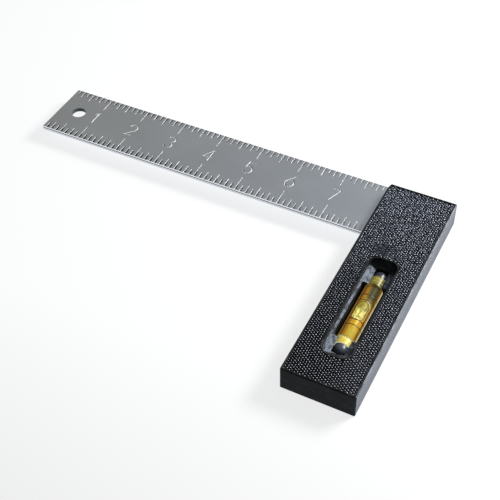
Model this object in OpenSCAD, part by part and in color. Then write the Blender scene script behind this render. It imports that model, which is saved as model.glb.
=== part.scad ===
// Eight inch try square with a spirit vial in its stock.
// X runs along the blade towards the stock, Y along the stock, Z up.
// The origin is the middle of the footprint, on the underside of the stock.

/* [Blade] */
// Length of the blade from its free end to the inner face of the stock
blade_out = 202.4; // [120:0.1:320]
// Width of the blade
blade_w = 37.4; // [30:0.1:50]
// Thickness of the blade
blade_t = 2.4; // [1:0.1:4]
// How far the outer edge of the blade stands past the far end of the stock
blade_proud = 2.7; // [0:0.1:5]
// Length of the tang inside the stock
tang_l = 30; // [22:0.5:34]
// Diameter of the anchor holes in the tang
anchor_d = 6; // [3:0.5:8]
// Distance between the middles of the anchor holes
anchor_pitch = 17; // [12:0.5:20]
// Distance from the inner face of the stock to the middles of the anchor holes
anchor_in = 16; // [10:0.5:18]
// Diameter of the hanging hole
hole_d = 8.4; // [4:0.1:12]
// Distance from the free end to the middle of the hanging hole
hole_from_end = 12.2; // [8:0.1:30]
// Distance from the outer edge to the middle of the hanging hole
hole_from_edge = 18.2; // [12:0.1:20]

/* [Scale] */
// Distance from the free end back to the zero of the scale
zero_before_end = 1.1; // [0:0.1:3]
// Bare stretch between the last mark and the stock
last_mark_gap = 2.5; // [1:0.1:10]
// Width of a mark, a V groove, at the surface
mark_w = 0.4; // [0.2:0.05:0.8]
// Depth of a mark
mark_depth = 0.15; // [0.05:0.05:0.4]
// Length of a whole inch mark at the inner edge
inch_mark = 10.8; // [8:0.1:12]
// Length of a half inch mark at the inner edge
half_mark = 7.7; // [6:0.1:10]
// Length of a quarter inch mark at the inner edge
quarter_mark = 6.2; // [5:0.1:8]
// Length of an eighth inch mark at the inner edge
eighth_mark = 4.6; // [3:0.1:6]
// How much shorter each mark is at the outer edge
outer_trim = 1; // [0:0.1:2]

/* [Stock] */
// Width of the stock, across its broad face
stock_w = 37.6; // [36:0.1:60]
// Length of the stock
stock_l = 136.7; // [125:0.1:200]
// Thickness of the stock
stock_t = 14.6; // [13.5:0.1:20]
// Bevel on every outer edge of the stock
edge_bevel = 0.5; // [0.2:0.1:1]
// Small cut at the inner far corner, across the stock
corner_cut_x = 1.2; // [0.6:0.1:3]
// Small cut at the inner far corner, along the stock
corner_cut_y = 3.8; // [1:0.1:6]

// Depth of the field of pebble grain below the plain rim round the broad face
grain_depth = 0.25; // [0.05:0.05:0.4]
// Width of the plain rim along the outer edges and round the window
plain_rim = 0.6; // [0.3:0.1:2]

/* [Vial window] */
// Distance from the far end of the stock to the window
window_from_far = 53.3; // [45:0.1:56]
// Length of the window
window_l = 66; // [60:0.1:70]
// Width of the window
window_w = 15; // [14:0.1:20]
// Radius of the window's corners
window_r = 5; // [2:0.1:7]
// Depth of the upright wall along each long side
side_wall = 3.6; // [2:0.1:4.5]
// Depth of the upright wall at each end
end_wall = 1.5; // [0.5:0.1:3]
// Depth of the ledge where its two slopes meet
ledge_depth = 5.8; // [4.8:0.1:6.5]
// Fall of the end slopes, depth for each millimetre along the stock
end_fall = 0.77; // [0.4:0.01:1.2]

/* [Vial] */
// Diameter of the vial's body
body_d = 9.4; // [8.8:0.1:10.5]
// Length of the vial's body
body_l = 36.3; // [32:0.1:40]
// Bevel at the shoulders of the body
shoulder = 0.5; // [0.2:0.1:1.5]
// Diameter of the necks
neck_d = 8.2; // [7.4:0.1:8.8]
// Length of the neck at the far end
far_neck_l = 6; // [2:0.1:6.6]
// Length of the neck at the near end
near_neck_l = 4; // [2:0.1:6]
// Diameter of the bore through the necks
neck_bore = 5.8; // [3:0.1:6.4]
// Wall of the body at its middle
body_wall = 1; // [0.7:0.1:1.6]
// How much narrower the bore is at each end of the body, as a diameter
bore_taper = 0.4; // [0:0.05:1]
// Wall of the body over the shoulder at each end of the bore
end_web = 1.2; // [0.8:0.1:3]
// Distance between the inner two of the four lines
line_gap = 13; // [8:0.1:18]
// Distance between the two lines of a pair
line_pair = 3.7; // [2:0.1:6]
// Width of a line groove
line_w = 0.4; // [0.2:0.05:0.6]
// Depth of a line groove
line_depth = 0.15; // [0.05:0.05:0.3]
// Length of the bubble
bubble_l = 12.2; // [6:0.1:16]
// Width of the bubble
bubble_w = 5.8; // [3:0.1:6]
// Height of the bubble
bubble_h = 3.4; // [2:0.1:5]
// Diameter of the heads of the end plugs
plug_d = 7.3; // [6.6:0.1:8.4]
// Length of the heads of the end plugs
plug_l = 5; // [4:0.1:5.8]
// Radius of the round corner of a plug's head
plug_corner = 3.2; // [0.5:0.1:3.2]
// Length of the spigots of the end plugs
spigot_l = 1.5; // [1:0.1:1.5]

/* [Clearances] */
// Clearance round the wider of neck and plug in the channel, as a radius
channel_gap = 0.1; // [0.05:0.05:0.5]
// Clearance between the body of the vial and each end of its pocket
pocket_end_gap = 0.3; // [0.1:0.1:1]
// Clearance beside the body of the vial in its pocket
pocket_side_gap = 1.6; // [0.3:0.1:2]
// Clearance under the body of the vial in its pocket
pocket_floor_gap = 0.3; // [0.1:0.1:0.8]
// Clearance between the liquid and the bore
film = 0.02; // [0.01:0.01:0.05]

/* [Hidden] */
$fn = 64;
// Overshoot of a cut past the surface it opens
over = 1;
shallow_over = 0.1;

// The blade and the stock in X
face_x = blade_out / 2 - stock_w / 2;
end_x = face_x - blade_out;
stock_mid_x = face_x + stock_w / 2;

// The blade and the stock in Y
outer_y = (stock_l + blade_proud) / 2;
far_y = outer_y - blade_proud;
near_y = far_y - stock_l;
stock_mid_y = (far_y + near_y) / 2;
inner_y = outer_y - blade_w;

// The blade lies at mid thickness of the stock, and so does the vial
blade_z = (stock_t - blade_t) / 2;
vial_z = stock_t / 2;

// The scale
inch = 25.4;
marks_per_inch = 8;
mark_pitch = inch / marks_per_inch;
zero_x = end_x - zero_before_end;
mark_count = floor((blade_out + zero_before_end - last_mark_gap) / mark_pitch);

// The window and the vial share one middle
window_y = far_y - window_from_far - window_l / 2;
pocket_l = body_l + 2 * pocket_end_gap;
pocket_w = body_d + 2 * pocket_side_gap;
pocket_z = vial_z - body_d / 2 - pocket_floor_gap;
pocket_r = 0.8;
channel_r = max(neck_d, plug_d) / 2 + channel_gap;
far_plug_y = body_l / 2 + far_neck_l;
near_plug_y = body_l / 2 + near_neck_l;
plug_end_gap = 0.5;

// Length of the mark numbered n, counted in eighths from the zero
function mark_length(n) =
    n % marks_per_inch == 0 ? inch_mark :
    n % (marks_per_inch / 2) == 0 ? half_mark :
    n % (marks_per_inch / 4) == 0 ? quarter_mark : eighth_mark;

// Radius of the vial's bore at a distance y from its middle
bore_d = body_d - 2 * body_wall;
bore_half = body_l / 2 - end_web;
function bore_radius(y) = bore_d / 2 - bore_taper / 2 * pow(y / bore_half, 2);
bore_steps = 10;

// A bar along X with bevelled long edges, centred in Y and Z
module bevelled_bar(l, w, h, bevel) {
    rotate([90, 0, 90])
        linear_extrude(l, center = true)
            bevelled_outline(w, h, bevel);
}

module bevelled_outline(w, h, bevel) {
    polygon([
        [-w / 2 + bevel, -h / 2], [w / 2 - bevel, -h / 2], [w / 2, -h / 2 + bevel], [w / 2, h / 2 - bevel],
        [w / 2 - bevel, h / 2], [-w / 2 + bevel, h / 2], [-w / 2, h / 2 - bevel], [-w / 2, -h / 2 + bevel]
    ]);
}

module rounded_outline(w, l, r) {
    square([w - 2 * r, l], center = true);
    square([w, l - 2 * r], center = true);
    for (x = [-1, 1], y = [-1, 1])
        translate([x * (w / 2 - r), y * (l / 2 - r)])
            circle(r);
}

// The block of the stock, bevelled on all edges, without any opening
module stock_block() {
    translate([stock_mid_x, stock_mid_y, stock_t / 2])
        difference() {
            intersection() {
                bevelled_bar(stock_w, stock_l, stock_t, edge_bevel);
                rotate([0, 0, 90])
                    bevelled_bar(stock_l, stock_w, stock_t, edge_bevel);
                linear_extrude(stock_t, center = true)
                    bevelled_outline(stock_w, stock_l, edge_bevel);
            }
            translate([-stock_w / 2, stock_l / 2, 0])
                linear_extrude(stock_t + over, center = true)
                    polygon([
                        [-over, over], [corner_cut_x, over], [corner_cut_x, 0],
                        [0, -corner_cut_y], [-over, -corner_cut_y]
                    ]);
        }
}

// Outline of the broad face inside its plain rim, stepped round the corner cut
module field_outline() {
    margin = edge_bevel + plain_rim;
    step_x = corner_cut_x + plain_rim;
    step_y = corner_cut_y + plain_rim;
    difference() {
        square([stock_w - 2 * margin, stock_l - 2 * margin], center = true);
        translate([-stock_w / 2, stock_l / 2])
            square([2 * step_x, 2 * step_y], center = true);
    }
}

// The shallow field that carries the grain
module grain_field() {
    translate([0, 0, stock_t - grain_depth])
        linear_extrude(grain_depth + over)
            difference() {
                translate([stock_mid_x, stock_mid_y])
                    field_outline();
                translate([stock_mid_x, window_y])
                    rounded_outline(window_w + 2 * plain_rim, window_l + 2 * plain_rim, window_r + plain_rim);
            }
}

// Middles of the anchor holes in the tang
module at_anchors() {
    for (side = [-1, 1])
        translate([face_x + anchor_in, outer_y - blade_w / 2 + side * anchor_pitch / 2, 0])
            children();
}

// The slot that the tang fills, round the studs that pass through it
module tang_slot() {
    difference() {
        translate([face_x - over, inner_y, blade_z])
            cube([tang_l + over, blade_w + over, blade_t]);
        at_anchors()
            cylinder(h = stock_t, d = anchor_d);
    }
}

// The window down to its ledge: the rounded outline, the long slopes and the end slopes in one
module window_basin() {
    fall_l = (ledge_depth - end_wall) / end_fall;
    half_w = window_w / 2;
    half_l = window_l / 2;
    intersection() {
        translate([0, 0, -ledge_depth])
            linear_extrude(ledge_depth + over)
                rounded_outline(window_w, window_l, window_r);
        rotate([90, 0, 0])
            linear_extrude(window_l + over, center = true)
                polygon([
                    [-half_w - over, over], [-half_w - over, -side_wall], [-half_w, -side_wall],
                    [0, -ledge_depth],
                    [half_w, -side_wall], [half_w + over, -side_wall], [half_w + over, over]
                ]);
        rotate([90, 0, 90])
            linear_extrude(window_w + over, center = true)
                polygon([
                    [-half_l - over, over], [-half_l - over, -end_wall], [-half_l, -end_wall],
                    [-half_l + fall_l, -ledge_depth], [half_l - fall_l, -ledge_depth],
                    [half_l, -end_wall], [half_l + over, -end_wall], [half_l + over, over]
                ]);
    }
}

// The round channel for the necks and plugs. It lies so high that it breaks through the ledge.
module end_channels() {
    far_l = far_plug_y + plug_l + plug_end_gap;
    near_l = near_plug_y + plug_l + plug_end_gap;
    rotate([90, 0, 0])
        translate([0, 0, -far_l])
            cylinder(h = far_l + near_l, r = channel_r);
}

module vial_window() {
    translate([stock_mid_x, window_y, stock_t])
        window_basin();
    translate([stock_mid_x, window_y, pocket_z])
        linear_extrude(stock_t - pocket_z)
            rounded_outline(pocket_w, pocket_l, pocket_r);
    translate([stock_mid_x, window_y, vial_z])
        end_channels();
}

module handle() {
    color([0.13, 0.14, 0.16])
        difference() {
            stock_block();
            grain_field();
            tang_slot();
            vial_window();
        }
}

// A V groove of length l that runs from the origin towards -Y, cut into the plane z = 0
module v_groove(l) {
    half_top = mark_w / 2 * (1 + shallow_over / mark_depth);
    rotate([90, 0, 0])
        linear_extrude(l)
            polygon([[-half_top, shallow_over], [0, -mark_depth], [half_top, shallow_over]]);
}

// The marks of one edge, cut from the edge inwards
module mark_row(edge_y, inwards, trim) {
    for (n = [1 : mark_count]) {
        l = mark_length(n) - trim;
        end_y = inwards > 0 ? edge_y + l : edge_y + over;
        translate([zero_x + n * mark_pitch, end_y, blade_z + blade_t])
            v_groove(l + over);
    }
}

module blade() {
    color([0.62, 0.64, 0.64])
        difference() {
            translate([end_x, inner_y, blade_z])
                cube([blade_out + tang_l, blade_w, blade_t]);
            translate([end_x + hole_from_end, outer_y - hole_from_edge, blade_z - over])
                cylinder(h = blade_t + 2 * over, d = hole_d);
            at_anchors()
                translate([0, 0, blade_z - over])
                    cylinder(h = blade_t + 2 * over, d = anchor_d);
            mark_row(inner_y, 1, 0);
            mark_row(outer_y, -1, outer_trim);
        }
}

// Stands a shape that is revolved about Z along the vial, with +Z towards the far end
module along_vial() {
    translate([stock_mid_x, window_y, vial_z])
        rotate([-90, 0, 0])
            children();
}

// Half section of the bore, made narrower all round by gap
module bore_section(gap) {
    bore = [for (i = [0 : bore_steps])
        let (y = -bore_half + gap + 2 * (bore_half - gap) * i / bore_steps)
        [bore_radius(y) - gap, y]];
    polygon(concat([[0, -bore_half + gap]], bore, [[0, bore_half - gap]]));
    translate([0, -near_plug_y + spigot_l + gap])
        square([neck_bore / 2 - gap, near_plug_y + far_plug_y - 2 * spigot_l - 2 * gap]);
}

module barrel_section() {
    difference() {
        union() {
            polygon([
                [0, -body_l / 2], [body_d / 2 - shoulder, -body_l / 2], [body_d / 2, -body_l / 2 + shoulder],
                [body_d / 2, body_l / 2 - shoulder], [body_d / 2 - shoulder, body_l / 2], [0, body_l / 2]
            ]);
            translate([0, -near_plug_y])
                square([neck_d / 2, near_plug_y + far_plug_y]);
        }
        bore_section(0);
        translate([0, -near_plug_y - over])
            square([neck_bore / 2, near_plug_y + far_plug_y + 2 * over]);
        for (side = [-1, 1], k = [0, 1])
            translate([body_d / 2 - line_depth, side * (line_gap / 2 + k * line_pair) - line_w / 2])
                square([line_depth + over, line_w]);
    }
}

module vial_barrel() {
    color([0.85, 0.87, 0.55, 0.5])
        along_vial()
            rotate_extrude()
                barrel_section();
}

// The bubble lies against the top of the bore: round ends in plan, and a shallow curved underside
module bubble() {
    top = bore_d / 2 + film;
    side_r = bubble_w / 2;
    belly_r = bore_d / 2;
    intersection() {
        translate([0, 0, top - side_r])
            rotate([90, 0, 0]) {
                cylinder(h = bubble_l - bubble_w, r = side_r, center = true);
                for (end = [-1, 1])
                    translate([0, 0, end * (bubble_l - bubble_w) / 2])
                        sphere(side_r);
            }
        translate([0, 0, top - bubble_h + belly_r])
            rotate([90, 0, 0])
                cylinder(h = bubble_l + over, r = belly_r, center = true);
    }
}

module vial_liquid() {
    color([0.85, 0.75, 0.15])
        difference() {
            along_vial()
                rotate_extrude()
                    bore_section(film);
            translate([stock_mid_x, window_y, vial_z])
                bubble();
        }
}

// A plug with its spigot below the origin and its domed head above
module plug() {
    color([0.08, 0.08, 0.09])
        rotate_extrude() {
            translate([0, -spigot_l])
                square([neck_bore / 2, spigot_l + over]);
            plug_head_section();
        }
}

// The head: an upright side with a round corner that runs into a flat crown
module plug_head_section() {
    square([plug_d / 2, plug_l - plug_corner]);
    square([plug_d / 2 - plug_corner, plug_l]);
    intersection() {
        translate([plug_d / 2 - plug_corner, plug_l - plug_corner])
            circle(plug_corner);
        square([plug_d / 2, plug_l]);
    }
}

module vial_plug_far() {
    along_vial()
        translate([0, 0, far_plug_y])
            plug();
}

module vial_plug_near() {
    along_vial()
        rotate([180, 0, 0])
            translate([0, 0, near_plug_y])
                plug();
}

handle();
blade();
vial_barrel();
vial_liquid();
vial_plug_far();
vial_plug_near();
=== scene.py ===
"""Looks of an eight inch try square with a spirit vial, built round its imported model.

Lengths are in metres, in the frame of the model: +X along the blade towards the stock,
+Y across the blade towards its outer edge, +Z up.
"""
import math
import random

import bmesh
import bpy
from mathutils import Euler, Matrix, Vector


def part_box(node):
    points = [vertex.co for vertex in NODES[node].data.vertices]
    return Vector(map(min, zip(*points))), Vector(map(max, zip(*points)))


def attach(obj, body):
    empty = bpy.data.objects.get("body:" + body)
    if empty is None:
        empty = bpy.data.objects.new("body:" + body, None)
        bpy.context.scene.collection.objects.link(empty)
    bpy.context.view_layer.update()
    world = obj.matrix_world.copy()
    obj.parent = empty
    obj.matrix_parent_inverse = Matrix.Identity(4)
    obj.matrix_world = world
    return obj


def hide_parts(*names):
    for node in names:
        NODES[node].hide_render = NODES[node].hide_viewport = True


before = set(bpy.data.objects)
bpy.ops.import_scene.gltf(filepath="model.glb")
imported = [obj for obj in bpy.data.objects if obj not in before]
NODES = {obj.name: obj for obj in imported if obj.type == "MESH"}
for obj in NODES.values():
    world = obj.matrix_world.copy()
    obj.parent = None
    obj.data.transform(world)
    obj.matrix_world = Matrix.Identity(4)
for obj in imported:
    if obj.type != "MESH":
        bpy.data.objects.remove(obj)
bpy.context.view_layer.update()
MM = 0.001

# Angles in degrees above which an edge looks sharp
ROUND_ANGLE = 30
CAST_ANGLE = 25
GRAIN_ANGLE = 60

# Camera, fitted to the marks and edges of the photo
CAMERA_AT = Vector((200.228, -314.288, 378.563)) * MM
CAMERA_TURN = Euler((0.759167, 0.021497, 0.469113))
LENS = 71.773
SENSOR = 36
NEAR_CLIP = 0.01
FAR_CLIP = 20

# Blade and its numerals
INCH = 25.4 * MM
ZERO_BEFORE_END = 1.1 * MM
NUMERALS = 7
NUMERAL_H = 9.2 * MM
NUMERAL_W = 5.4 * MM
NUMERAL_SHIFT = -0.3 * MM
NUMERAL_FROM_OUTER = 18.3 * MM
STROKE_W = 0.7 * MM
STROKE_DEPTH = 0.3 * MM

# Marks of the blade, and the painted shade in a dark strip at their right sides
MARK_PITCH = INCH / 8
MARK_L = 4.6 * MM
LAST_MARK = 63
MARK_SHADE = (0.03, 0.03, 0.028)
MARK_SHADE_NARROWING = 0.2

# Grain of the stock: low domes in a hexagonal pattern
GRAIN_PITCH = 1.5 * MM
GRAIN_H = 0.25 * MM
GRAIN_R = 0.68 * MM
GRAIN_SINK = 0.01 * MM
GRAIN_SIDES = 9
GRAIN_RINGS = 3
GRAIN_JITTER_NEAR = 0.08 * MM
GRAIN_JITTER_FAR = 0.25 * MM
GRAIN_STRETCH_FAR = 0.35
GRAIN_INSET = 0.15 * MM
GRAIN_SMALLEST = 0.8
GRAIN_SEED = 8

# Worn patch of the grain, above the window
WORN_X = 97 * MM
WORN_Y = 19 * MM
WORN_HALF_W = 11 * MM
WORN_HALF_L = 9 * MM
WORN_DEPTH = 0.6

# Bevel, rim and window of the stock, as in the model
EDGE_BEVEL = 0.5 * MM
PLAIN_RIM = 0.6 * MM
WINDOW_FROM_FAR = 53.3 * MM
WINDOW_L = 66 * MM
WINDOW_W = 15 * MM
WINDOW_R = 5 * MM
LEDGE_BOTTOM = 8 * MM

# Lamps: azimuth and elevation in degrees, width and height in metres, watts, and colour
KEY_LAMP = (48, 38, (0.28, 0.24), 6.6, (1, 0.99, 0.98))
LOW_STRIP = (39, 13, (0.2, 0.12), 0.3, (1, 1, 1))
LAMP_DISTANCE = 0.8
LAMP_TARGET = Vector((0.06, 0, 0))

# Room and floor
ROOM_AZIMUTH = 50
ROOM_RISE = 0.1
FLOOR_HALF = 4
FLOOR_GLOW = 0.78
FLOOR_GLOW_NEAR = 0.65
FLOOR_NEAR_Y = -200 * MM
FLOOR_FAR_Y = -70 * MM

# Vial, as in the model
BODY_L = 36.3 * MM
BODY_R = 4.7 * MM
SHOULDER = 0.5 * MM
NECK_R = 4.1 * MM
NECK_LIP = 0.3 * MM
NEAR_NECK_L = 4 * MM
FAR_NECK_L = 6 * MM
NECK_BORE_R = 2.9 * MM
BORE_R = 3.7 * MM
BORE_TAPER = 0.2 * MM
END_WEB = 1.2 * MM
SPIGOT_L = 1.5 * MM
LINE_GAP = 13 * MM
LINE_PAIR = 3.7 * MM
LINE_W = 0.4 * MM
LINE_DEPTH = 0.15 * MM
BUBBLE_L = 12.2 * MM
BUBBLE_W = 5.8 * MM
BUBBLE_H = 3.4 * MM
VIAL_SEGMENTS = 96
ACROSS_TILT = math.radians(15)

# Play between the forms inside the vial
FIT_GAP = 0.01 * MM
INK_GAP = 0.005 * MM

# Hollow of the bubble: how far its widest place lies above the skin, and its height above that
BUBBLE_LIFT = 0.25 * MM
BUBBLE_REACH = 3 * MM
BUBBLE_SEGMENTS = 48
BUBBLE_RINGS = 32

# Lines round the bubble, with their spans in degrees from +X: a dark line of painted shade at its edge,
# and a glint of painted highlight
MENISCUS_W = 0.35 * MM
MENISCUS_SPAN = (-175, 175)
GLINT_W = 0.22 * MM
GLINT_OUT = 0.55 * MM
GLINT_SPAN = (-10, 75)
LINE_STEPS = 48
LINE_SIDES = 6

# Optics of the hard plastics
PLASTIC_IOR = 1.56

# Finishes of the stock, of the blade and of the barrel, in the order of their materials
BLACK, SIDE, LEDGE, MATT, GRAIN_FLOOR, HIGHLIT_BEVEL = range(6)
METAL, SHEARED, BRIGHT_CUT, SHADED_CUT = range(4)
CLEAR, BORE, NECK, LIP = range(4)

# How near a face lies to a side, and how straight it faces an axis, to count as on it
NEAR_SIDE = 0.1 * MM
STRAIGHT = 0.99
NEARLY_STRAIGHT = 0.9
SLOPED = 0.6
BLADE_STRAIGHT = 0.95
BLADE_SLOPED = 0.3

# The cut faces whose direction has more X than this are turned to the lamp
TURNED_TO_LAMP = -0.1

# A length times this ends just past it
JUST_PAST = 1.01

# Points nearer than this are one point, and the least cosine for a mitre
DOUBLED = 0.001 * MM
MITRE_LIMIT = 0.4


def mesh_object(name, verts, faces, smooth_angle=ROUND_ANGLE):
    """A new object from points and faces, smooth apart from its sharp edges."""
    mesh = bpy.data.meshes.new(name)
    mesh.from_pydata(verts, [], faces)
    mesh.update()
    obj = bpy.data.objects.new(name, mesh)
    bpy.context.scene.collection.objects.link(obj)
    smooth(obj, smooth_angle)
    return obj


def smooth(obj, angle):
    """Smooth shading, broken at edges sharper than the angle."""
    mesh = obj.data
    mesh.polygons.foreach_set("use_smooth", [True] * len(mesh.polygons))
    mesh.set_sharp_from_angle(angle=math.radians(angle))


def face_outwards(obj):
    """Turns all faces of closed shells outwards."""
    bm = bmesh.new()
    bm.from_mesh(obj.data)
    bmesh.ops.recalc_face_normals(bm, faces=bm.faces)
    bm.to_mesh(obj.data)
    bm.free()


def new_material(name):
    """A material with its node tree, and its main shader."""
    mat = bpy.data.materials.new(name)
    mat.use_nodes = True
    return mat, mat.node_tree, mat.node_tree.nodes["Principled BSDF"]


def add_node(tree, kind, **values):
    """A new shader node, with values for its inputs or its settings."""
    node = tree.nodes.new(kind)
    for key, value in values.items():
        if key in node.inputs:
            node.inputs[key].default_value = value
        else:
            setattr(node, key, value)
    return node


def object_coordinates(tree, scale):
    """Object coordinates multiplied by scale, so that a scale of 1000 counts millimetres."""
    coords = add_node(tree, "ShaderNodeTexCoord")
    mapping = add_node(tree, "ShaderNodeMapping")
    mapping.inputs["Scale"].default_value = scale
    tree.links.new(coords.outputs["Object"], mapping.inputs["Vector"])
    return mapping.outputs["Vector"]


def noise(tree, scale, detail=3, roughness=0.5):
    """Noise whose features are one unit wide after the coordinates are scaled."""
    node = add_node(tree, "ShaderNodeTexNoise", Scale=1, Detail=detail, Roughness=roughness)
    tree.links.new(object_coordinates(tree, scale), node.inputs["Vector"])
    return node.outputs["Fac"]


def ramp(tree, factor, stops):
    """A colour ramp; each stop is a place and a grey value or a colour."""
    node = add_node(tree, "ShaderNodeValToRGB")
    elements = node.color_ramp.elements
    while len(elements) < len(stops):
        elements.new(0.5)
    for element, (place, colour) in zip(elements, stops):
        element.position = place
        rgb = (colour,) * 3 if isinstance(colour, (int, float)) else colour
        element.color = (*rgb, 1)
    tree.links.new(factor, node.inputs["Fac"])
    return node.outputs["Color"]


def bump(tree, shader, height, strength, distance):
    """Small relief from a height, distance deep."""
    node = add_node(tree, "ShaderNodeBump", Strength=strength, Distance=distance)
    tree.links.new(height, node.inputs["Height"])
    tree.links.new(node.outputs["Normal"], shader.inputs["Normal"])


def share_along(tree, axis, low, high, clamp=True):
    """0 at one place on an axis of the object and 1 at another."""
    coords = add_node(tree, "ShaderNodeTexCoord")
    split = add_node(tree, "ShaderNodeSeparateXYZ")
    share = add_node(tree, "ShaderNodeMapRange", clamp=clamp)
    share.inputs["From Min"].default_value = low
    share.inputs["From Max"].default_value = high
    tree.links.new(coords.outputs["Object"], split.inputs[0])
    tree.links.new(split.outputs[axis], share.inputs["Value"])
    return share.outputs["Result"]


def share_across(tree, centre, radius):
    """0 at the vial's upper left side and 1 at its lower right side, seen along its axis."""
    coords = add_node(tree, "ShaderNodeTexCoord")
    dot = add_node(tree, "ShaderNodeVectorMath", operation="DOT_PRODUCT")
    turned = Vector((math.cos(ACROSS_TILT), 0, -math.sin(ACROSS_TILT)))
    dot.inputs[1].default_value = turned
    share = add_node(tree, "ShaderNodeMapRange")
    middle = Vector(centre).dot(turned)
    share.inputs["From Min"].default_value = middle - radius
    share.inputs["From Max"].default_value = middle + radius
    tree.links.new(coords.outputs["Object"], dot.inputs[0])
    tree.links.new(dot.outputs["Value"], share.inputs["Value"])
    return share.outputs["Result"]


def mixed(tree, factor, low, high):
    """Two colours, or two sockets of colour, mixed by a factor."""
    node = add_node(tree, "ShaderNodeMix", data_type="RGBA")
    tree.links.new(factor, node.inputs["Factor"])
    for socket, colour in ((node.inputs[6], low), (node.inputs[7], high)):
        if isinstance(colour, tuple):
            socket.default_value = (*colour, 1)
        else:
            tree.links.new(colour, socket)
    return node.outputs[2]


def product(tree, first, second):
    """One socket multiplied by another."""
    node = add_node(tree, "ShaderNodeMath", operation="MULTIPLY")
    tree.links.new(first, node.inputs[0])
    tree.links.new(second, node.inputs[1])
    return node.outputs[0]


def glow_of(tree, shader, colour, strength):
    """Painted glow: the surface gives off light in its own colour, also in the shade, though it is no
    lamp.
    """
    tree.links.new(colour, shader.inputs["Emission Color"])
    shader.inputs["Emission Strength"].default_value = strength


def repeated_share(tree, start, pitch):
    """The share of the pitch passed since the last repeat, along X."""
    share = add_node(tree, "ShaderNodeMath", operation="FRACT")
    tree.links.new(share_along(tree, "X", start, start + pitch, clamp=False), share.inputs[0])
    return share.outputs[0]


def stock_plastic(name, roughness, base, ior=PLASTIC_IOR):
    """Black moulded plastic with a faint flow pattern along the stock."""
    mat, tree, shader = new_material(name)
    shader.inputs["IOR"].default_value = ior
    shader.inputs["Specular Tint"].default_value = (0.86, 0.92, 1, 1)
    flow = noise(tree, (400, 60, 900), detail=4, roughness=0.6)
    colour = ramp(tree, flow, [(0.3, base), (0.75, tuple(1.8 * c for c in base))])
    tree.links.new(colour, shader.inputs["Base Color"])
    patches = noise(tree, (250, 90, 250), detail=3)
    rough = ramp(tree, patches, [(0.3, roughness - 0.04), (0.7, roughness + 0.05)])
    tree.links.new(rough, shader.inputs["Roughness"])
    bump(tree, shader, noise(tree, (2500, 900, 2500), detail=3), 0.25, 0.05 * MM)
    return mat


def side_plastic(low, high):
    """The glossy side of the stock, with short scuffs along it. Towards its upper edge the scuffs are
    denser and paler, which is partly a painted highlight.
    """
    mat, tree, shader = new_material("stock_side")
    shader.inputs["IOR"].default_value = PLASTIC_IOR
    scuffs = noise(tree, (900, 120, 1400), detail=4, roughness=0.65)
    sparse = ramp(tree, scuffs, [(0.4, (0.005, 0.006, 0.009)), (0.5, (0.012, 0.015, 0.022)),
                                 (0.62, (0.06, 0.068, 0.088))])
    dense_and_highlit = ramp(tree, scuffs, [(0.36, (0.01, 0.012, 0.018)), (0.48, (0.06, 0.068, 0.088)),
                                (0.6, (0.2, 0.22, 0.26))])
    height = share_along(tree, "Z", low[2], high[2])
    # Paler towards the upper edge: partly denser scuffs, partly painted highlight.
    colour = mixed(tree, ramp(tree, height, [(0.35, 0), (0.95, 1)]), sparse, dense_and_highlit)
    tree.links.new(colour, shader.inputs["Base Color"])
    tree.links.new(ramp(tree, scuffs, [(0.35, 0.22), (0.65, 0.45)]), shader.inputs["Roughness"])
    bump(tree, shader, scuffs, 0.6, 0.05 * MM)
    return mat


def highlit_bevel_plastic():
    """The bevel between the broad face and the right side, painted pale and mottled: a painted highlight
    along the edge.
    """
    mat, tree, shader = new_material("stock_bevel_painted_highlight")
    shader.inputs["IOR"].default_value = PLASTIC_IOR
    shader.inputs["Roughness"].default_value = 0.35
    mottle = noise(tree, (300, 180, 300), detail=4, roughness=0.6)
    colour = ramp(tree, mottle, [(0.36, (0.1, 0.11, 0.13)), (0.62, (0.36, 0.385, 0.43))])
    tree.links.new(colour, shader.inputs["Base Color"])
    return mat


def matt_plastic():
    """The dull plastic of the ends, bevels and hollows, with rubbed patches."""
    mat, tree, shader = new_material("stock_matt")
    shader.inputs["IOR"].default_value = 1.17
    shader.inputs["Roughness"].default_value = 0.5
    rubbed = noise(tree, (120, 120, 300), detail=4, roughness=0.6)
    colour = ramp(tree, rubbed, [(0.35, (0.015, 0.016, 0.016)), (0.5, (0.028, 0.03, 0.029)),
                                 (0.65, (0.06, 0.06, 0.056))])
    tree.links.new(colour, shader.inputs["Base Color"])
    bump(tree, shader, noise(tree, (2500, 2500, 2500)), 0.25, 0.05 * MM)
    return mat


def ledge_plastic():
    """The smooth plastic of the ledges, scuffed and cloudy."""
    mat, tree, shader = new_material("stock_ledge")
    shader.inputs["IOR"].default_value = PLASTIC_IOR
    shader.inputs["Specular Tint"].default_value = (0.74, 0.85, 1, 1)
    scuffs = noise(tree, (700, 350, 700), detail=5, roughness=0.65)
    colour = ramp(tree, scuffs, [(0.38, (0.008, 0.01, 0.013)), (0.48, (0.04, 0.048, 0.062)),
                                 (0.58, (0.17, 0.195, 0.245))])
    tree.links.new(colour, shader.inputs["Base Color"])
    rough = ramp(tree, scuffs, [(0.35, 0.22), (0.65, 0.42)])
    tree.links.new(rough, shader.inputs["Roughness"])
    bump(tree, shader, scuffs, 0.5, 0.06 * MM)
    return mat


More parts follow.
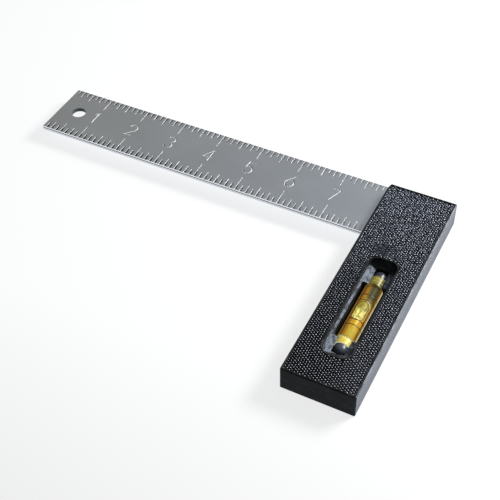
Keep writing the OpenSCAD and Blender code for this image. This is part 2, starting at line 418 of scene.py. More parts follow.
def grain_plastic(low, high):
    """The raised grain: glossy, and paler towards the far end and the right side, nearer the lamp:
    painted light.
    """
    mat, tree, shader = new_material("stock_grain_black")
    shader.inputs["IOR"].default_value = 1.6
    shader.inputs["Specular Tint"].default_value = (0.86, 0.92, 1, 1)
    along = share_along(tree, "Y", low[1], high[1])
    # Painted light: the grain is paler towards the far end, and below also towards the right side.
    colour = ramp(tree, along, [(0.1, (0.006, 0.0065, 0.008)), (0.5, (0.03, 0.035, 0.046)),
                                (0.75, (0.09, 0.101, 0.132)), (1, (0.14, 0.157, 0.2))])
    towards_right = share_along(tree, "X", low[0], high[0])
    right_share = ramp(tree, towards_right, [(0.5, 0), (1, 0.6)])
    colour = mixed(tree, right_share, colour, (0.11, 0.121, 0.152))
    tree.links.new(colour, shader.inputs["Base Color"])
    mottle = noise(tree, (900, 900, 900), detail=2)
    near_gloss = ramp(tree, mottle, [(0.3, 0.15), (0.7, 0.3)])
    far_gloss = ramp(tree, mottle, [(0.3, 0.09), (0.7, 0.19)])
    tree.links.new(mixed(tree, along, near_gloss, far_gloss), shader.inputs["Roughness"])
    return mat


def mark_painted_shade(tree, low, high):
    """1 on the dark strip of painted shade at the right side of each mark, and 0 elsewhere."""
    past_mark = repeated_share(tree, low[0] - ZERO_BEFORE_END, MARK_PITCH)
    either = add_node(tree, "ShaderNodeMath", operation="MAXIMUM")
    for socket, edge, inwards, strength in ((0, low[1], 1, 1), (1, high[1], -1, 0.75)):
        from_edge = share_along(tree, "Y", edge, edge + inwards * MARK_L)
        narrowing = add_node(tree, "ShaderNodeMath", operation="MULTIPLY_ADD")
        narrowing.inputs[1].default_value = MARK_SHADE_NARROWING
        tree.links.new(from_edge, narrowing.inputs[0])
        tree.links.new(past_mark, narrowing.inputs[2])
        strip = ramp(tree, narrowing.outputs[0], [(0.03, 0), (0.05, 1), (0.34, 1), (0.48, 0)])
        fade = ramp(tree, from_edge, [(0.75, strength), (1, 0)])
        tree.links.new(product(tree, strip, fade), either.inputs[socket])
    last_mark = low[0] - ZERO_BEFORE_END + LAST_MARK * MARK_PITCH
    towards_stock = share_along(tree, "X", low[0], last_mark)
    weaker_near_stock = ramp(tree, towards_stock, [(0.3, 1), (0.6, 0.75), (0.8, 0.5), (0.99, 0.35), (1, 0)])
    return product(tree, either.outputs[0], weaker_near_stock)


def blade_metal(low, high):
    """Satin aluminium with fine streaks along the blade."""
    mat, tree, shader = new_material("blade_metal")
    shader.inputs["Metallic"].default_value = 1
    streaks = noise(tree, (120, 5200, 5200), detail=3, roughness=0.6)
    clouds = noise(tree, (28, 45, 28), detail=3)
    warm = ramp(tree, clouds, [(0.3, (0.83, 0.83, 0.78)), (0.7, (0.91, 0.91, 0.87))])
    cool = ramp(tree, clouds, [(0.3, (0.74, 0.78, 0.82)), (0.7, (0.81, 0.85, 0.89))])
    tint = mixed(tree, share_along(tree, "X", low[0], low[0] + NUMERALS * INCH), warm, cool)
    # Painted shade: a dark strip beside each mark.
    tree.links.new(mixed(tree, mark_painted_shade(tree, low, high), tint, MARK_SHADE), shader.inputs["Base Color"])
    rough = ramp(tree, streaks, [(0.25, 0.3), (0.8, 0.42)])
    tree.links.new(rough, shader.inputs["Roughness"])
    bump(tree, shader, streaks, 0.1, 0.01 * MM)
    return mat


def cut_metal(name, low, high):
    """One side of the marks and numerals, mottled between two colours. The pale copy is painted light on
    the walls turned to the lamp, the dark copy painted shade on the walls turned from it.
    """
    mat, tree, shader = new_material(name)
    speckle = noise(tree, (900, 900, 900))
    colour = ramp(tree, speckle, [(0.3, low), (0.7, high)])
    tree.links.new(colour, shader.inputs["Base Color"])
    shader.inputs["Roughness"].default_value = 0.45
    return mat


def edge_metal(low, high):
    """The sheared edge of the blade: bright, with a dark band along its middle, and darker towards its
    bottom.
    """
    mat, tree, shader = new_material("blade_edge")
    shader.inputs["Metallic"].default_value = 1
    shader.inputs["Roughness"].default_value = 0.3
    height = share_along(tree, "Z", low[2], high[2])
    dark_band = (0.04, 0.04, 0.04)
    colour = ramp(tree, height, [(0.08, (0.45, 0.44, 0.42)), (0.25, (0.9, 0.88, 0.84)),
                                 (0.4, (0.85, 0.83, 0.8)), (0.47, dark_band), (0.64, dark_band),
                                 (0.72, (1, 0.97, 0.92))])
    tree.links.new(colour, shader.inputs["Base Color"])
    return mat


def clear_plastic(centre):
    """Clear wall of the vial, with a painted glow. A dark line of painted shade and a bright line of
    painted highlight run along its right side.
    """
    mat, tree, shader = new_material("vial_clear")
    shader.inputs["IOR"].default_value = 1.46
    shader.inputs["Specular IOR Level"].default_value = 0.3
    shader.inputs["Roughness"].default_value = 0.3
    across = share_across(tree, centre, BODY_R)
    density = ramp(tree, across, [(0, 0.9), (0.04, 0.35), (0.1, 0.05), (0.8, 0.05),
                                  (0.83, 0.9), (0.88, 0.9), (1, 1)])
    rim = (0.2, 0.12, 0.03)
    shade_line = (0.08, 0.035, 0.005)
    amber = (0.45, 0.25, 0.03)
    highlight_line = (1, 0.93, 0.6)
    colour = ramp(tree, across, [(0, rim), (0.1, (0.6, 0.4, 0.1)), (0.8, (0.6, 0.36, 0.05)),
                                 (0.83, shade_line), (0.86, shade_line), (0.89, amber), (0.93, amber),
                                 (0.95, highlight_line), (0.985, highlight_line), (1, rim)])
    tree.links.new(density, shader.inputs["Alpha"])
    tree.links.new(colour, shader.inputs["Base Color"])
    # Painted glow: the wall gives off light in its own colour.
    glow_of(tree, shader, colour, 0.55)
    return mat


def neck_plastic(centre):
    """The thick wall of the necks, full of the liquid's colour, in rings of painted light and shade, lit
    at the near neck and shaded at the far one, with a painted glow.
    """
    mat, tree, shader = new_material("vial_neck")
    shader.inputs["Specular IOR Level"].default_value = 0.3
    shader.inputs["Roughness"].default_value = 0.3
    bands = noise(tree, (150, 900, 150), detail=2)
    bright = ramp(tree, bands, [(0.32, (0.5, 0.36, 0.03)), (0.5, (0.8, 0.66, 0.1)),
                                (0.66, (1, 0.9, 0.36))])
    shaded = ramp(tree, bands, [(0.32, (0.04, 0.035, 0.008)), (0.5, (0.21, 0.18, 0.025)),
                                (0.66, (0.46, 0.4, 0.1))])
    along = share_along(tree, "Y", centre[1] - BODY_L / 2, centre[1] + BODY_L / 2)
    # Painted light and shade: the near neck takes the lit copy, the far neck the shaded one.
    colour = mixed(tree, along, bright, shaded)
    tree.links.new(colour, shader.inputs["Base Color"])
    glow_of(tree, shader, colour, 0.25)
    return mat


def lip_plastic():
    """Cream plastic with a painted glow, for the lips of the necks, where it stands in for light that
    leaves the wall.
    """
    mat, _, shader = new_material("vial_lip")
    shader.inputs["Roughness"].default_value = 0.25
    shader.inputs["Base Color"].default_value = (1, 0.95, 0.72, 1)
    shader.inputs["Subsurface Weight"].default_value = 0.5
    shader.inputs["Subsurface Radius"].default_value = (0.003, 0.0025, 0.001)
    shader.inputs["Subsurface Scale"].default_value = 1
    shader.inputs["Emission Color"].default_value = (1, 0.92, 0.62, 1)
    shader.inputs["Emission Strength"].default_value = 0.4
    return mat


def bore_wall():
    """The bore, which liquid wets: nothing shows there."""
    mat, _, shader = new_material("vial_bore")
    shader.inputs["Alpha"].default_value = 0.02
    shader.inputs["Base Color"].default_value = (0.9, 0.8, 0.3, 1)
    return mat


def yellow_liquid(centre):
    """Dyed liquid: golden, amber along its sides, with painted shade that darkens it towards the far end
    and to dark green at the far end's right side, a painted highlight by the near pair of lines, and a
    painted glow.
    """
    mat, tree, shader = new_material("liquid_yellow")
    shader.inputs["Specular IOR Level"].default_value = 0.03
    shader.inputs["Roughness"].default_value = 0.4
    along = share_along(tree, "Y", centre[1] + BODY_L / 2, centre[1] - BODY_L / 2)
    across = share_across(tree, centre, BORE_R)
    gold = ramp(tree, along, [(0, (0.16, 0.12, 0.02)), (0.2, (0.26, 0.21, 0.03)),
                              (0.35, (0.46, 0.41, 0.04)), (0.6, (0.62, 0.54, 0.06)),
                              (0.69, (0.85, 0.66, 0.07)), (0.74, (0.62, 0.48, 0.04)),
                              (0.85, (0.5, 0.42, 0.04)), (1, (0.45, 0.32, 0.03))])
    drift = noise(tree, (800, 90, 800), detail=2)
    edge = ramp(tree, across, [(0, 1), (0.16, 0.85), (0.28, 0), (0.84, 0), (0.95, 0.8)])
    streaks = ramp(tree, drift, [(0.34, 0.9), (0.42, 0.3), (0.5, 0)])
    amber = mixed(tree, edge, mixed(tree, streaks, gold, (0.55, 0.24, 0.02)), (0.52, 0.2, 0.015))
    # Painted shade: dark green at the far end's right side.
    far_end = ramp(tree, along, [(0.1, 1), (0.25, 0.95), (0.37, 0)])
    right = ramp(tree, across, [(0.2, 0), (0.42, 0.95), (0.6, 1)])
    colour = mixed(tree, product(tree, far_end, right), amber, (0.01, 0.025, 0.016))
    tree.links.new(colour, shader.inputs["Base Color"])
    glow_of(tree, shader, colour, 0.3)
    return mat


def bubble_wall(centre):
    """The bubble's skin, with painted light: pale on its right side, where the light falls through it,
    darker on its left, and a painted glow.
    """
    mat, tree, shader = new_material("bubble_wall")
    shader.inputs["Roughness"].default_value = 0.35
    shader.inputs["Specular IOR Level"].default_value = 0.3
    across = share_across(tree, centre, BUBBLE_W / 2)
    clouds = noise(tree, (900, 600, 900), detail=3)
    olive = ramp(tree, across, [(0, (0.4, 0.36, 0.05)), (0.4, (0.72, 0.66, 0.14)),
                                (0.7, (0.95, 0.88, 0.36))])
    spots = ramp(tree, clouds, [(0.4, 0.8), (0.5, 0.2), (0.56, 0)])
    colour = mixed(tree, spots, olive, (0.16, 0.15, 0.02))
    tree.links.new(colour, shader.inputs["Base Color"])
    glow_of(tree, shader, colour, 0.45)
    return mat


def meniscus_line():
    """The dark line where the bubble's skin meets the bore: painted shade for the bubble's dark edge."""
    mat, tree, shader = new_material("meniscus")
    mottle = noise(tree, (700, 700, 700))
    colour = ramp(tree, mottle, [(0.35, (0.05, 0.04, 0.01)), (0.7, (0.22, 0.17, 0.03))])
    tree.links.new(colour, shader.inputs["Base Color"])
    return mat


def line_ink():
    """Black ink, worn here and there to brown."""
    mat, tree, shader = new_material("line_ink")
    mottle = noise(tree, (1500, 1500, 1500))
    colour = ramp(tree, mottle, [(0.4, (0.01, 0.005, 0.002)), (0.8, (0.05, 0.025, 0.005))])
    tree.links.new(colour, shader.inputs["Base Color"])
    shader.inputs["Roughness"].default_value = 0.5
    return mat


def plug_rubber(dark, pale):
    """Black rubber with cloudy, paler spots where it is handled."""
    mat, tree, shader = new_material("plug_rubber")
    cloud = noise(tree, (900, 900, 900), detail=2)
    colour = ramp(tree, cloud, [(0.3, dark), (0.8, pale)])
    tree.links.new(colour, shader.inputs["Base Color"])
    tree.links.new(ramp(tree, cloud, [(0.3, 0.26), (0.7, 0.38)]), shader.inputs["Roughness"])
    return mat


def inside_rounded(x, y, half_w, half_l, radius):
    """True if x, y lies in a rounded rectangle about the origin."""
    dx = max(abs(x) - half_w + radius, 0)
    dy = max(abs(y) - half_l + radius, 0)
    return math.hypot(dx, dy) < radius


def pebble(verts, faces, centre, radius, height, turn, stretch):
    """Adds one closed dome that stands on its base ring, longer by stretch in the direction of turn."""
    x, y, z = centre
    first = len(verts)
    for ring in range(GRAIN_RINGS):
        share = 1 - ring / GRAIN_RINGS
        level = height * (1 - share ** 2)
        for side in range(GRAIN_SIDES):
            a = 2 * math.pi * side / GRAIN_SIDES
            along = radius * share * math.cos(a) * stretch
            across = radius * share * math.sin(a) / stretch
            verts.append((x + along * math.cos(turn) - across * math.sin(turn),
                          y + along * math.sin(turn) + across * math.cos(turn), z + level))
    verts.append((x, y, z + height))
    top = len(verts) - 1
    for ring in range(GRAIN_RINGS - 1):
        for side in range(GRAIN_SIDES):
            a = first + ring * GRAIN_SIDES + side
            b = first + ring * GRAIN_SIDES + (side + 1) % GRAIN_SIDES
            faces.append((a, b, b + GRAIN_SIDES, a + GRAIN_SIDES))
    last = first + (GRAIN_RINGS - 1) * GRAIN_SIDES
    for side in range(GRAIN_SIDES):
        faces.append((last + side, last + (side + 1) % GRAIN_SIDES, top))
    faces.append(tuple(first + side for side in reversed(range(GRAIN_SIDES))))


def near_window(x, y, low, high):
    """True over the window of the stock and over the plain rim round it."""
    rim = PLAIN_RIM + GRAIN_INSET
    middle_x = (low[0] + high[0]) / 2
    middle_y = high[1] - WINDOW_FROM_FAR - WINDOW_L / 2
    return inside_rounded(x - middle_x, y - middle_y, WINDOW_W / 2 + rim, WINDOW_L / 2 + rim,
                          WINDOW_R + rim)


def pebble_height(x, y, size):
    """The height of a dome from its size, less in the worn patch."""
    away = math.hypot((x - WORN_X) / WORN_HALF_W, (y - WORN_Y) / WORN_HALF_L)
    return (GRAIN_H + GRAIN_SINK) * size * (1 - WORN_DEPTH * max(0, 1 - away))


def stock_grain():
    """The pebble grain on the broad face of the stock, clear of its rim and window."""
    low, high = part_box("handle")
    margin = EDGE_BEVEL + PLAIN_RIM + GRAIN_INSET
    floor_z = high[2] - GRAIN_H - GRAIN_SINK
    rng = random.Random(GRAIN_SEED)
    column_step = GRAIN_PITCH * math.sqrt(3) / 2
    columns = int((high[0] - low[0]) / column_step) + 1
    rows = int((high[1] - low[1]) / GRAIN_PITCH) + 1
    verts, faces = [], []
    for column in range(columns):
        for row in range(rows):
            x = low[0] + margin + column * column_step
            y = low[1] + margin + (row + column % 2 / 2) * GRAIN_PITCH
            far_share = (y - low[1]) / (high[1] - low[1])
            if x > high[0] - margin or y > high[1] - margin:
                continue
            jitter = GRAIN_JITTER_NEAR + (GRAIN_JITTER_FAR - GRAIN_JITTER_NEAR) * far_share
            x += rng.uniform(-jitter, jitter)
            y += rng.uniform(-jitter, jitter)
            size = rng.uniform(GRAIN_SMALLEST, 1)
            if near_window(x, y, low, high):
                continue
            turn = rng.uniform(0, math.pi)
            stretch = 1 + GRAIN_STRETCH_FAR * far_share
            height = pebble_height(x, y, size)
            pebble(verts, faces, (x, y, floor_z), GRAIN_R * size, height, turn, stretch)
    grain = mesh_object("stock_grain", verts, faces, GRAIN_ANGLE)
    grain.data.materials.append(grain_plastic(low, high))
    return grain


def clean_copy(node, name, smooth_angle):
    """A copy of a node's mesh with its doubled points joined."""
    bm = bmesh.new()
    bm.from_mesh(NODES[node].data)
    bmesh.ops.remove_doubles(bm, verts=bm.verts, dist=DOUBLED)
    bmesh.ops.recalc_face_normals(bm, faces=bm.faces)
    bm.verts.index_update()
    faces = [tuple(vert.index for vert in face.verts) for face in bm.faces]
    copy = mesh_object(name, [vert.co.copy() for vert in bm.verts], faces, smooth_angle)
    bm.free()
    return copy


def stock_finish(face, low, high):
    """The finish of one face of the stock, from its place and its direction."""
    x, z = face.center.x, face.center.z
    nx, nz = face.normal.x, face.normal.z
    if nx > STRAIGHT and x > high[0] - NEAR_SIDE:
        return SIDE
    # The bevel along the right side takes a painted highlight.
    if nx > SLOPED and nz > SLOPED and x > high[0] - EDGE_BEVEL:
        return HIGHLIT_BEVEL
    if nz < -STRAIGHT or nx < -STRAIGHT and x < low[0] + NEAR_SIDE:
        return BLACK
    if NEARLY_STRAIGHT < nz < STRAIGHT and z > LEDGE_BOTTOM:
        return LEDGE
    # Between the grain's domes the floor takes painted shade: a near black, dull copy of the plastic.
    if nz > STRAIGHT and high[2] - 2 * GRAIN_H < z < high[2] - NEAR_SIDE:
        return GRAIN_FLOOR
    return MATT


def stock():
    """The stock as modelled, each kind of face with its own finish."""
    low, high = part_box("handle")
    piece = clean_copy("handle", "stock_moulded", CAST_ANGLE)
    finishes = [
        stock_plastic("stock_black", 0.34, (0.009, 0.01, 0.012)),
        side_plastic(low, high),
        ledge_plastic(),
        matt_plastic(),
        # The floor between the domes: painted shade.
        stock_plastic("stock_grain_floor", 0.6, (0.003, 0.003, 0.0035), ior=1.1),
        highlit_bevel_plastic(),
    ]
    for finish in finishes:
        piece.data.materials.append(finish)
    for face in piece.data.polygons:
        face.material_index = stock_finish(face, low, high)
    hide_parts("handle")
    return piece


def arc(cx, cy, rx, ry, start, end, steps=14):
    """Points along an ellipse, in shares of a numeral's width and height; angles in degrees."""
    points = []
    for i in range(steps + 1):
        a = math.radians(start + (end - start) * i / steps)
        points.append((cx + rx * math.cos(a), cy + ry * math.sin(a)))
    return points


# Strokes of the plain numerals, in shares of their width and height, from the lower left corner
STROKES = {
    1: [[(0.2, 0.78), (0.55, 1), (0.55, 0)]],
    2: [arc(0.5, 0.7, 0.46, 0.3, 165, -35) + [(0.04, 0), (0.98, 0)]],
    3: [arc(0.48, 0.74, 0.42, 0.26, 155, -85), arc(0.48, 0.26, 0.47, 0.26, 92, -155)],
    4: [[(0.72, 0), (0.72, 1), (0, 0.3), (1, 0.3)]],
    5: [[(0.92, 1), (0.2, 1), (0.12, 0.5)], arc(0.46, 0.31, 0.47, 0.31, 145, -150)],
    6: [[(0.78, 1)] + arc(0.5, 0.31, 0.46, 0.31, 150, 510, 22)],
    7: [[(0.02, 1), (0.98, 1), (0.3, 0)]],
}


def groove_cutter(path, half_w, depth, top):
    """A closed V section swept along a flat path, with mitred corners."""
    verts, faces = [], []
    count = len(path)
    above = depth / 2
    for i, point in enumerate(path):
        before = (point - path[i - 1]).normalized() if i > 0 else None
        after = (path[i + 1] - point).normalized() if i < count - 1 else None
        along = (before or after) + (after or before)
        along.normalize()
        side = Vector((-along.y, along.x, 0))
        lean = 1 / max(along.dot(after or before), MITRE_LIMIT)
        reach = half_w * (1 + above / depth) * lean
        verts.append(point + side * reach + Vector((0, 0, top + above)))
        verts.append(point - side * reach + Vector((0, 0, top + above)))
        verts.append(point + Vector((0, 0, top - depth)))
    for i in range(count - 1):
        a = 3 * i
        b = a + 3
        faces += [(a, a + 1, b + 1, b), (a + 1, a + 2, b + 2, b + 1), (a + 2, a, b, b + 2)]
    faces += [(0, 2, 1), (3 * count - 3, 3 * count - 2, 3 * count - 1)]
    return verts, faces


def cut_numerals(blade, low, high):
    """Cuts the V grooves of all numerals into the blade."""
    for number in range(1, NUMERALS + 1):
        left = low[0] - ZERO_BEFORE_END + number * INCH - NUMERAL_W / 2 + NUMERAL_SHIFT
        foot = high[1] - NUMERAL_FROM_OUTER - NUMERAL_H / 2
        for stroke in STROKES[number]:
            path = [Vector((left + u * NUMERAL_W, foot + v * NUMERAL_H, 0)) for u, v in stroke]
            verts, faces = groove_cutter(path, STROKE_W / 2, STROKE_DEPTH, high[2])
            cutter = mesh_object("numeral_cutter", verts, faces)
            face_outwards(cutter)
            subtract(blade, cutter)


def apply_modifiers(obj):
    """Replaces the object's mesh by the result of its modifiers."""
    graph = bpy.context.evaluated_depsgraph_get()
    mesh = bpy.data.meshes.new_from_object(obj.evaluated_get(graph))
    obj.modifiers.clear()
    old = obj.data
    obj.data = mesh
    bpy.data.meshes.remove(old)


def neighbours(face):
    """The faces at those edges of a face that only two faces share, itself among them."""
    shared = [edge for edge in face.edges if len(edge.link_faces) == 2]
    return [other for edge in shared for other in edge.link_faces]


def keep_largest_shell(obj):
    """Drops the specks that a cut can leave beside the piece."""
    bm = bmesh.new()
    bm.from_mesh(obj.data)
    left = set(bm.faces)
    shells = []
    for start in bm.faces:
        if start not in left:
            continue
        left.remove(start)
        shell = [start]
        for face in shell:
            for other in neighbours(face):
                if other in left:
                    left.remove(other)
                    shell.append(other)
        shells.append(shell)
    largest = set(max(shells, key=lambda shell: sum(face.calc_area() for face in shell)))
    bmesh.ops.delete(bm, geom=[face for face in bm.faces if face not in largest], context="FACES")
    bm.to_mesh(obj.data)
    bm.free()


def subtract(obj, cutter):
    """Cuts the cutter's shape out of the object, and deletes the cutter."""
    modifier = obj.modifiers.new("cut", "BOOLEAN")
    modifier.operation = "DIFFERENCE"
    modifier.solver = "EXACT"
    modifier.use_self = True
    modifier.object = cutter
    apply_modifiers(obj)
    bpy.data.objects.remove(cutter)
    keep_largest_shell(obj)


def blade_finish(face, low, high):
    """The finish of one face of the blade, from its place and its direction."""
    x, y = face.center.x, face.center.y
    tilt = abs(face.normal.z)
    if tilt > BLADE_STRAIGHT:
        return METAL
    # Sloped walls turned to the lamp take painted light, the others painted shade.
    if tilt > BLADE_SLOPED:
        return BRIGHT_CUT if face.normal.x > TURNED_TO_LAMP else SHADED_CUT
    # Upright walls away from the outer edges, such as the hole's, take painted shade.
    at_edge = y < low[1] + NEAR_SIDE or y > high[1] - NEAR_SIDE or x < low[0] + NEAR_SIDE
    return SHEARED if at_edge else SHADED_CUT


def engraved_blade():
    """The blade as modelled, with its numerals cut into it."""
    blade = clean_copy("blade", "blade_engraved", CAST_ANGLE)
    low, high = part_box("blade")
    cut_numerals(blade, low, high)
    smooth(blade, CAST_ANGLE)
    # Painted light and painted shade for the two sides of the cuts.
    bright = cut_metal("blade_cut_bright", (0.7, 0.72, 0.73), (0.95, 0.96, 0.97))
    painted_shaded = cut_metal("blade_cut_painted_shade", (0.05, 0.05, 0.05), (0.16, 0.17, 0.17))
    for material in (blade_metal(low, high), edge_metal(low, high), bright, painted_shaded):
        blade.data.materials.append(material)
    for face in blade.data.polygons:
        face.material_index = blade_finish(face, low, high)
    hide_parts("blade")
    return blade


def revolved(name, sections, centre):
    """Closed outlines of (radius, y) turned about an axis along Y. Points on the axis become one."""
    verts, faces = [], []
    cx, cy, cz = centre
    for outline in sections:
        rings = []
        for radius, y in outline:
            if radius < DOUBLED / 2:
                rings.append([len(verts)])
                verts.append((cx, cy + y, cz))
                continue
            rings.append(list(range(len(verts), len(verts) + VIAL_SEGMENTS)))
            for i in range(VIAL_SEGMENTS):
                a = 2 * math.pi * i / VIAL_SEGMENTS
                verts.append((cx + radius * math.cos(a), cy + y, cz + radius * math.sin(a)))
        for k, ring in enumerate(rings):
            other = rings[(k + 1) % len(rings)]
            if len(ring) == 1 and len(other) == 1:
                continue
            for i in range(VIAL_SEGMENTS):
                j = (i + 1) % VIAL_SEGMENTS
                corners = [ring[i % len(ring)], ring[j % len(ring)]]
                corners += [other[j % len(other)], other[i % len(other)]]
                faces.append(tuple(dict.fromkeys(corners)))
    obj = mesh_object(name, verts, faces)
    face_outwards(obj)
    smooth(obj, ROUND_ANGLE)
    return obj


def vial_centre():
    """The middle of the vial's body, on its axis."""
    low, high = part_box("vial_barrel")
    return ((low[0] + high[0]) / 2, low[1] + NEAR_NECK_L + BODY_L / 2, (low[2] + high[2]) / 2)


def bore_outline(gap, steps=16):
    """The ends of the vial in Y, and between them the bore as (radius, y), grown by gap."""
    half = BODY_L / 2 - END_WEB
    near = -BODY_L / 2 - NEAR_NECK_L
    far = BODY_L / 2 + FAR_NECK_L
    points = [(NECK_BORE_R + gap, -half - gap)]
    for i in range(steps + 1):
        y = -half - gap + 2 * (half + gap) * i / steps
        points.append((BORE_R - BORE_TAPER * (y / half) ** 2 + gap, y))
    points.append((NECK_BORE_R + gap, half + gap))
    return near, points, far


def barrel_finish(face, centre, near, far):
    """The finish of one face of the barrel, from its place along and off the axis."""
    radius = math.hypot(face.center.x - centre[0], face.center.z - centre[2])
    y = face.center.y - centre[1]
    in_body = abs(y) < BODY_L / 2 - END_WEB + FIT_GAP
    if radius < BORE_R + 5 * FIT_GAP and (in_body or radius < NECK_BORE_R + 2 * FIT_GAP):
        return BORE
    if y < near + JUST_PAST * NECK_LIP or y > far - JUST_PAST * NECK_LIP:
        return LIP
    if abs(y) > BODY_L / 2 - JUST_PAST * SHOULDER:
        return NECK
    return CLEAR


def vial_barrel():
    """The barrel of the vial with its bore, necks and line grooves."""
    near, bore, far = bore_outline(0)
    half = BODY_L / 2
    outside = [(NECK_BORE_R, near), (NECK_R - NECK_LIP, near), (NECK_R, near + NECK_LIP), (NECK_R, -half)]
    outside += [(BODY_R - SHOULDER, -half), (BODY_R, -half + SHOULDER)]
    for side in (-1, 1):
        places = [LINE_GAP / 2, LINE_GAP / 2 + LINE_PAIR]
        for place in sorted(side * p for p in places):
            outside += [(BODY_R, place - LINE_W / 2), (BODY_R - LINE_DEPTH, place - LINE_W / 2)]
            outside += [(BODY_R - LINE_DEPTH, place + LINE_W / 2), (BODY_R, place + LINE_W / 2)]
    outside += [(BODY_R, half - SHOULDER), (BODY_R - SHOULDER, half), (NECK_R, half)]
    outside += [(NECK_R, far - NECK_LIP), (NECK_R - NECK_LIP, far), (NECK_BORE_R, far)]
    centre = vial_centre()
    barrel = revolved("vial_barrel_clear", [outside + bore[::-1]], centre)
    for material in (clear_plastic(centre), bore_wall(), neck_plastic(centre), lip_plastic()):
        barrel.data.materials.append(material)
    for face in barrel.data.polygons:
        face.material_index = barrel_finish(face, centre, near, far)
    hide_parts("vial_barrel")
    return barrel


def vial_liquid():
    """The liquid fills the bore up to the plugs. The bubble is a hollow that opens at its top."""
    near, bore, far = bore_outline(-FIT_GAP)
    outline = [(0, near + SPIGOT_L), (NECK_BORE_R - FIT_GAP, near + SPIGOT_L)] + bore
    outline += [(NECK_BORE_R - FIT_GAP, far - SPIGOT_L), (0, far - SPIGOT_L)]
    centre = vial_centre()
    liquid = revolved("vial_liquid_yellow", [outline], centre)
    bubble = bubble_shape(centre)
    liquid.data.materials.append(yellow_liquid(centre))
    wall = bubble_wall(centre)
    liquid.data.materials.append(wall)
    bubble.data.materials.append(wall)
    subtract(liquid, bubble)
    smooth(liquid, ROUND_ANGLE)
    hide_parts("vial_liquid")
    return liquid


def pill_outline(width, length, start, end, steps):
    """Points on the outline of a pill along Y between two angles in degrees, 0 at +X."""
    straight = (length - width) / 2
    points = []
    for i in range(steps + 1):
        a = math.radians(start + (end - start) * i / steps)
        x = width / 2 * math.cos(a)
        y = width / 2 * math.sin(a)
        points.append((x, y + math.copysign(straight, y)))
    return points


def bubble_line(name, grow, span, thickness, material):
    """A thin line on the liquid's skin round the bubble."""
    centre = Vector(vial_centre())
    path = []
    for x, y in pill_outline(BUBBLE_W + 2 * grow, BUBBLE_L + 2 * grow, *span, LINE_STEPS):
        path.append(centre + Vector((x, y, math.sqrt(BORE_R ** 2 - x ** 2))))
    verts, faces = [], []
    for i, point in enumerate(path):
        ahead = path[min(i + 1, len(path) - 1)] - path[max(i - 1, 0)]
        across = ahead.cross(Vector((0, 0, 1))).normalized()
        up = across.cross(ahead).normalized()
        for k in range(LINE_SIDES):
            a = 2 * math.pi * k / LINE_SIDES
            verts.append(point + thickness / 2 * (across * math.cos(a) + up * math.sin(a)))
    for i in range(len(path) - 1):
        for k in range(LINE_SIDES):
            a = i * LINE_SIDES + k
            b = i * LINE_SIDES + (k + 1) % LINE_SIDES
            faces.append((a, b, b + LINE_SIDES, a + LINE_SIDES))
    last = (len(path) - 1) * LINE_SIDES
    faces += [tuple(range(LINE_SIDES)), tuple(last + k for k in reversed(range(LINE_SIDES)))]
    line = mesh_object(name, verts, faces)
    face_outwards(line)
    line.data.materials.append(material)
    return line


def bubble_shape(centre):
    """A long rounded hollow, widest just above the liquid's skin at its sides."""
    bm = bmesh.new()
    bmesh.ops.create_uvsphere(bm, u_segments=BUBBLE_SEGMENTS, v_segments=BUBBLE_RINGS, radius=1)
    straight = (BUBBLE_L - BUBBLE_W) / 2
    widest = math.sqrt(BORE_R ** 2 - (BUBBLE_W / 2) ** 2) + BUBBLE_LIFT
    bottom = BORE_R + BUBBLE_LIFT - BUBBLE_H
    for vert in bm.verts:
        x, y, z = vert.co
        new_x = x * BUBBLE_W / 2
        new_y = y * BUBBLE_W / 2 + (straight if y > 0 else -straight if y < 0 else 0)
        new_z = widest + z * (BUBBLE_REACH if z > 0 else widest - bottom)
        vert.co = Vector(centre) + Vector((new_x, new_y, new_z))
    mesh = bpy.data.meshes.new("bubble")
    bm.to_mesh(mesh)
    bm.free()
    bubble = bpy.data.objects.new("bubble", mesh)
    bpy.context.scene.collection.objects.link(bubble)
    return bubble


def line_rings():
    """Ink in the four grooves round the vial."""
    sections = []
    for side in (-1, 1):
        for place in (LINE_GAP / 2, LINE_GAP / 2 + LINE_PAIR):
            y = side * place
            inner = BODY_R - LINE_DEPTH + INK_GAP
            outer = BODY_R - FIT_GAP
            low = y - LINE_W / 2 + INK_GAP
            high = y + LINE_W / 2 - INK_GAP
            sections.append([(inner, low), (outer, low), (outer, high), (inner, high)])
    rings = revolved("vial_lines", sections, vial_centre())
    rings.data.materials.append(line_ink())
    rings.visible_shadow = False
    return rings


def area_light(name, azimuth, elevation, size, power, colour):
    """A soft lamp that looks at the target. Azimuth 0 is +X and 90 is +Y."""
    a = math.radians(azimuth)
    e = math.radians(elevation)
    lamp = bpy.data.lights.new(name, "AREA")
    lamp.shape = "RECTANGLE"
    lamp.size, lamp.size_y = size
    lamp.energy = power
    lamp.color = colour
    obj = bpy.data.objects.new(name, lamp)
    away = Vector((math.cos(e) * math.cos(a), math.cos(e) * math.sin(a), math.sin(e)))
    obj.location = LAMP_TARGET + away * LAMP_DISTANCE
    obj.rotation_euler = away.to_track_quat("Z", "Y").to_euler()
    bpy.context.scene.collection.objects.link(obj)


def shown_background(tree, path):
    """1 for rays from the camera, reflections and glass, 0 for the light on the object."""
    first = add_node(tree, "ShaderNodeMath", operation="MAXIMUM")
    second = add_node(tree, "ShaderNodeMath", operation="MAXIMUM")
    tree.links.new(path.outputs["Is Camera Ray"], first.inputs[0])
    tree.links.new(path.outputs["Is Glossy Ray"], first.inputs[1])
    tree.links.new(first.outputs[0], second.inputs[0])
    tree.links.new(path.outputs["Is Transmission Ray"], second.inputs[1])
    return second.outputs[0]


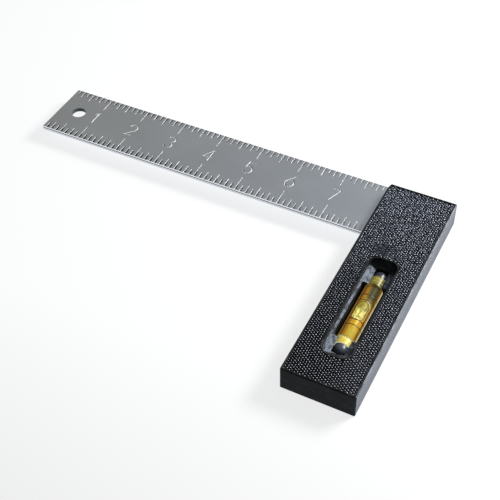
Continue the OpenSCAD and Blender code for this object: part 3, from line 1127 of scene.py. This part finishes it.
def pale_floor():
    """A plain floor that looks white to the camera and gives little light to the object."""
    half = FLOOR_HALF
    corners = [(-half, -half, 0), (half, -half, 0), (half, half, 0), (-half, half, 0)]
    floor = mesh_object("floor", corners, [(0, 1, 2, 3)])
    mat, tree, shader = new_material("floor_white")
    shader.inputs["Base Color"].default_value = (0.3, 0.305, 0.31, 1)
    shader.inputs["Roughness"].default_value = 0.9
    shader.inputs["Specular IOR Level"].default_value = 0.1
    path = add_node(tree, "ShaderNodeLightPath")
    depth = share_along(tree, "Y", FLOOR_NEAR_Y, FLOOR_FAR_Y)
    towards_far = ramp(tree, depth, [(0, FLOOR_GLOW_NEAR), (1, FLOOR_GLOW)])
    tint = mixed(tree, path.outputs["Is Glossy Ray"], (1, 1, 1), (0.86, 0.94, 1.06))
    tree.links.new(tint, shader.inputs["Emission Color"])
    glow = product(tree, shown_background(tree, path), towards_far)
    tree.links.new(glow, shader.inputs["Emission Strength"])
    floor.data.materials.append(mat)


def studio_world():
    """A soft room, brighter towards the lamp's side, and white where the camera sees it."""
    world = bpy.data.worlds.new("studio")
    world.use_nodes = True
    bpy.context.scene.world = world
    tree = world.node_tree
    background = tree.nodes["Background"]
    coords = add_node(tree, "ShaderNodeTexCoord")
    towards = add_node(tree, "ShaderNodeVectorMath", operation="DOT_PRODUCT")
    a = math.radians(ROOM_AZIMUTH)
    towards.inputs[1].default_value = (math.cos(a), math.sin(a), ROOM_RISE)
    tree.links.new(coords.outputs["Generated"], towards.inputs[0])
    level = ramp(tree, towards.outputs["Value"], [(0, (0.11, 0.12, 0.13)), (0.1, (0.21, 0.22, 0.235)),
                                                  (0.25, (0.275, 0.285, 0.3)), (0.8, (0.33, 0.34, 0.36))])
    path = add_node(tree, "ShaderNodeLightPath")
    seen = mixed(tree, path.outputs["Is Camera Ray"], level, (1, 1, 1))
    tree.links.new(seen, background.inputs["Color"])


def studio_camera():
    """The camera at the photo's place."""
    camera = bpy.data.objects.new("camera", bpy.data.cameras.new("camera"))
    camera.data.lens = LENS
    camera.data.sensor_width = SENSOR
    camera.data.clip_start = NEAR_CLIP
    camera.data.clip_end = FAR_CLIP
    camera.location = CAMERA_AT
    camera.rotation_euler = CAMERA_TURN
    bpy.context.scene.collection.objects.link(camera)
    bpy.context.scene.camera = camera


def dress_plugs():
    """Rubber for the plugs as modelled. The near one is paler."""
    far = plug_rubber((0.028, 0.032, 0.04), (0.055, 0.06, 0.072))
    near = plug_rubber((0.075, 0.085, 0.105), (0.13, 0.145, 0.175))
    for name, rubber in (("vial_plug_far", far), ("vial_plug_near", near)):
        for slot in NODES[name].material_slots:
            slot.material = rubber


studio_camera()
studio_world()
pale_floor()
area_light("key", *KEY_LAMP)
area_light("low_strip", *LOW_STRIP)
dress_plugs()

moulding = stock()
grain = stock_grain()
blade = engraved_blade()
barrel = vial_barrel()
liquid = vial_liquid()
rings = line_rings()
meniscus = bubble_line("bubble_outline", 0, MENISCUS_SPAN, MENISCUS_W, meniscus_line())
# The glint: a glowing cream line beside the bubble's right side, a painted highlight.
glint = bubble_line("bubble_glint", GLINT_OUT, GLINT_SPAN, GLINT_W, lip_plastic())
for piece in (moulding, grain, blade, barrel, liquid, rings, meniscus, glint):
    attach(piece, "root")

bpy.context.scene.view_settings.view_transform = "Standard"
